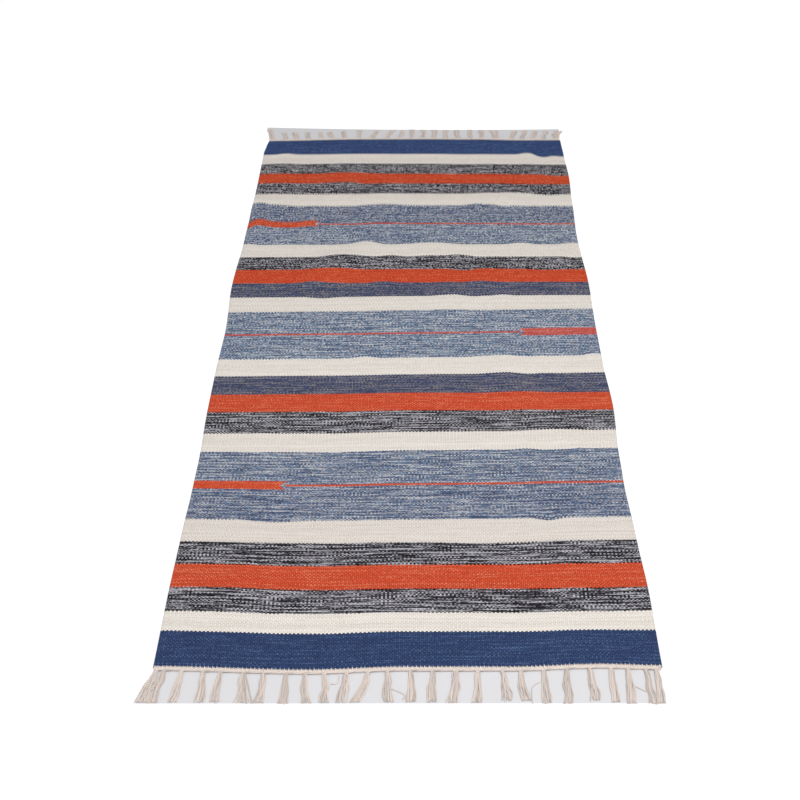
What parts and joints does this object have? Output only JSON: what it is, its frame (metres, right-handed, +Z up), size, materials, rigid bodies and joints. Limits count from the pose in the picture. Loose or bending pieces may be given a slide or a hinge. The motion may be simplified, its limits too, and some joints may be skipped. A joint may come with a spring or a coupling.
{
  "type": "kilim rug",
  "caption": "Flat hand-woven cotton rug with cross stripes and knotted warp fringes at both ends, lying flat on a floor.",
  "frame": {"origin": "middle of the cloth's underside, on the floor", "axes": "+Y along the rug's length towards its far end, +X across it to the right, +Z up out of its face"},
  "size_m": [0.7133, 1.5144, 0.0087],
  "materials": {
    "woven_cotton": "matt weft-faced cotton weave",
    "warp_cotton": "matt undyed cotton yarn"
  },
  "bodies": {
    "root": {"cloth": "woven_cotton", "fringe_near": "warp_cotton", "fringe_far": "warp_cotton"}
  },
  "joints": []
}
